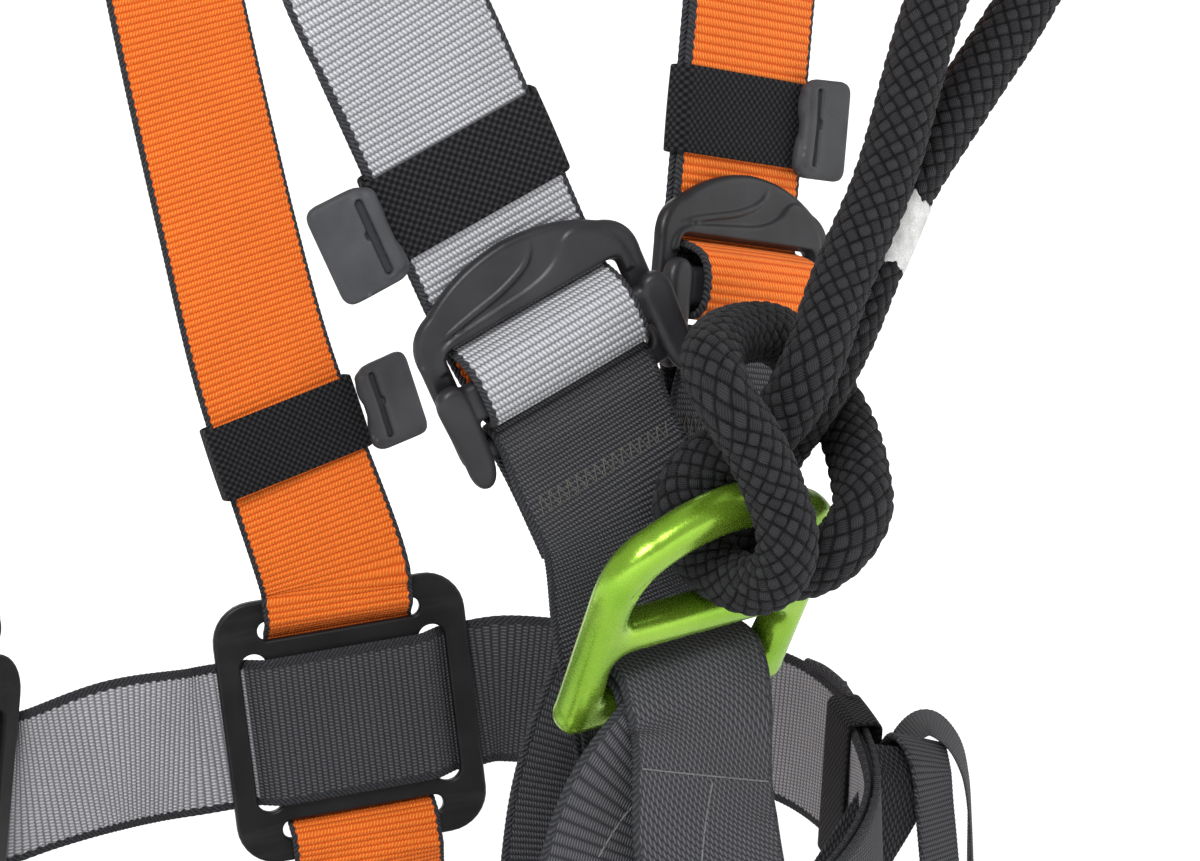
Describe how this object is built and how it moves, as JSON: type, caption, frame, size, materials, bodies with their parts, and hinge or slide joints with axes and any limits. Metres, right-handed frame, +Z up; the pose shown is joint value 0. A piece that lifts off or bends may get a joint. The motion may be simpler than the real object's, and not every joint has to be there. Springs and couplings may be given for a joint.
{
  "type": "full-body safety harness",
  "caption": "Full-body fall-arrest harness of flat webbing: shoulder straps, waist belt, leg loops, steel strap plates, a forged ring and a hitched rope lanyard.",
  "frame": {"origin": "centre of the waist belt, level with its rear part, where the wearer holds the harness", "axes": "+X to the wearer's left, +Y to the wearer's back, +Z up"},
  "size_m": [0.3766, 0.3305, 0.7047],
  "materials": {
    "orange_webbing": "woven",
    "grey_webbing": "woven",
    "dark_webbing": "woven",
    "elastic": "knitted",
    "black_steel": "satin black",
    "buckle_black": "satin moulded coating",
    "tab_plastic": "matt",
    "green_alloy": "lime green anodised",
    "grey_alloy": "satin anodised",
    "rope": "braided",
    "white_thread": "wound thread"
  },
  "bodies": {
    "webbing": {"waist_belt": "grey_webbing", "hip_plate_left": "black_steel", "hip_plate_right": "black_steel", "waist_buckle_frame": "buckle_black", "shoulder_strap_right": "grey_webbing", "shoulder_strap_left": "orange_webbing", "shoulder_buckle_right_frame": "buckle_black", "shoulder_buckle_left_frame": "buckle_black", "front_strap_right": "dark_webbing", "front_strap_left": "dark_webbing", "leg_riser_left": "dark_webbing", "leg_riser_right": "dark_webbing", "leg_strap_left": "dark_webbing", "leg_buckle_left_frame": "buckle_black", "leg_strap_right": "dark_webbing", "leg_buckle_right_frame": "buckle_black", "dorsal_pad": "tab_plastic", "dorsal_plate": "tab_plastic", "waist_keeper": "elastic"},
    "ring_and_lanyard": {"ventral_ring": "green_alloy", "lanyard_rope": "rope", "rope_whipping": "white_thread", "lanyard_sleeve_a": "tab_plastic", "connector_a": "grey_alloy", "lanyard_sleeve_b": "tab_plastic", "connector_b": "grey_alloy"},
    "gate_a": {"connector_gate_a": "black_steel"},
    "gate_b": {"connector_gate_b": "black_steel"},
    "dorsal_d_ring": {"dorsal_ring": "grey_alloy"},
    "keeper_front_right": {"front_keeper_right_band": "elastic", "front_keeper_right_tab": "tab_plastic"},
    "keeper_front_left": {"front_keeper_left_band": "elastic", "front_keeper_left_tab": "tab_plastic"},
    "keeper_rear_left": {"rear_keeper_left_band": "elastic", "rear_keeper_left_tab": "tab_plastic"},
    "toggle_waist": {"waist_buckle_toggle": "buckle_black"},
    "toggle_shoulder_right": {"shoulder_buckle_right_toggle": "buckle_black"},
    "toggle_shoulder_left": {"shoulder_buckle_left_toggle": "buckle_black"},
    "toggle_leg_left": {"leg_buckle_left_toggle": "buckle_black"},
    "toggle_leg_right": {"leg_buckle_right_toggle": "buckle_black"}
  },
  "joints": [
    {"name": "ring_swing", "type": "hinge", "parent": "webbing", "child": "ring_and_lanyard", "pos_m": [0.01198, -0.13309, 0.05238], "axis": [0.9934, -0.0073, 0.1147], "range_deg": [0, 24]},
    {"name": "gate_a_opens", "type": "hinge", "parent": "ring_and_lanyard", "child": "gate_a", "pos_m": [0.09565, -0.194, 0.32038], "axis": [0.9762, 0, -0.2169], "range_deg": [-24, 0], "stiffness_Nm_per_rad": 0.06, "springref_deg": 5.73},
    {"name": "gate_b_opens", "type": "hinge", "parent": "ring_and_lanyard", "child": "gate_b", "pos_m": [0.13275, -0.187, 0.32078], "axis": [0.9762, 0, -0.2169], "range_deg": [-24, 0], "stiffness_Nm_per_rad": 0.06, "springref_deg": 5.73},
    {"name": "dorsal_ring_swing", "type": "hinge", "parent": "webbing", "child": "dorsal_d_ring", "pos_m": [0, 0.125, 0.348], "axis": [-1, 0, 0], "range_deg": [-150, 0]},
    {"name": "keeper_front_right_slide", "type": "slide", "parent": "webbing", "child": "keeper_front_right", "axis": [-0.4699, 0, 0.8827], "range_m": [-0.004, 0.02]},
    {"name": "keeper_front_left_slide", "type": "slide", "parent": "webbing", "child": "keeper_front_left", "axis": [0.1482, 0.0494, 0.9877], "range_m": [-0.003, 0.02]},
    {"name": "keeper_rear_left_slide", "type": "slide", "parent": "webbing", "child": "keeper_rear_left", "axis": [-0.2762, 0.1295, 0.9523], "range_m": [-0.002, 0.003]},
    {"name": "toggle_waist_tilt", "type": "hinge", "parent": "webbing", "child": "toggle_waist", "pos_m": [-0.09678, -0.1167, -0.03398], "axis": [-0.1871, -0.0283, -0.9819], "range_deg": [-7, 4]},
    {"name": "toggle_shoulder_right_tilt", "type": "hinge", "parent": "webbing", "child": "toggle_shoulder_right", "pos_m": [-0.02515, -0.13639, 0.13709], "axis": [0.8503, -0.2685, 0.4526], "range_deg": [-7, 4]},
    {"name": "toggle_shoulder_left_tilt", "type": "hinge", "parent": "webbing", "child": "toggle_shoulder_left", "pos_m": [0.05328, -0.11568, 0.14521], "axis": [0.9821, 0.1102, -0.1528], "range_deg": [-7, 4]},
    {"name": "toggle_leg_left_tilt", "type": "hinge", "parent": "webbing", "child": "toggle_leg_left", "pos_m": [0.14649, -0.0838, -0.16157], "axis": [0.1619, 0.1456, -0.976], "range_deg": [-7, 4]},
    {"name": "toggle_leg_right_tilt", "type": "hinge", "parent": "webbing", "child": "toggle_leg_right", "pos_m": [-0.14649, -0.0838, -0.16157], "axis": [0.1619, -0.1456, 0.976], "range_deg": [-7, 4]}
  ]
}
